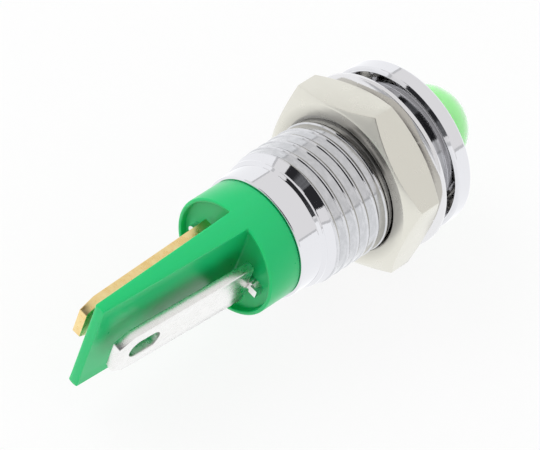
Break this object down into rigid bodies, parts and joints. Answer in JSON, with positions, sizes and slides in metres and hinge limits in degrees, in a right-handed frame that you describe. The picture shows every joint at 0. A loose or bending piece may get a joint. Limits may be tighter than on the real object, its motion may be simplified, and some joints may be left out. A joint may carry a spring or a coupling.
{
  "type": "panel mount indicator light",
  "caption": "Panel mount indicator light with a domed green lens, plated threaded body, hexagon nut, lock washer and push-on tabs.",
  "frame": {"origin": "centre of the flange's rear face, which seats on the panel", "axes": "+Y along the lamp's axis from the panel face towards the tabs, lens towards -Y; +Z in the plane of the barrier web; tinned tab at -X and brass tab at +X"},
  "size_m": [0.0104, 0.0281, 0.0116],
  "materials": {
    "chrome_plate": "bright chrome plate on turned brass",
    "nickel_plate": "bright nickel plate",
    "green_plastic": "satin green moulding",
    "lens_epoxy": "tinted diffused epoxy",
    "tab_brass": "stamped, bright",
    "tin_plate": "tin plate on stamped brass",
    "tinned_lead": "tinned",
    "die": "semiconductor die",
    "gold_wire": "fine wire",
    "lacquer": "lacquer over ceramic",
    "solder": "bright solder",
    "sleeve_plastic": "natural insulating tube"
  },
  "bodies": {
    "root": {"bezel_body": "chrome_plate", "led_lens": "lens_epoxy", "led_cathode_lead": "tinned_lead", "led_anode_lead": "tinned_lead", "led_chip": "die", "bond_wire": "gold_wire", "resistor_body": "lacquer", "resistor_front_lead": "tinned_lead", "resistor_rear_lead": "tinned_lead", "splice_solder": "solder", "spacer_sleeve": "sleeve_plastic", "terminal_insulator": "green_plastic", "tab_tinned": "tin_plate", "tab_brass": "tab_brass", "solder_tinned_tab": "solder", "solder_brass_tab": "solder", "hex_nut": "nickel_plate", "lock_washer": "nickel_plate"}
  },
  "joints": []
}
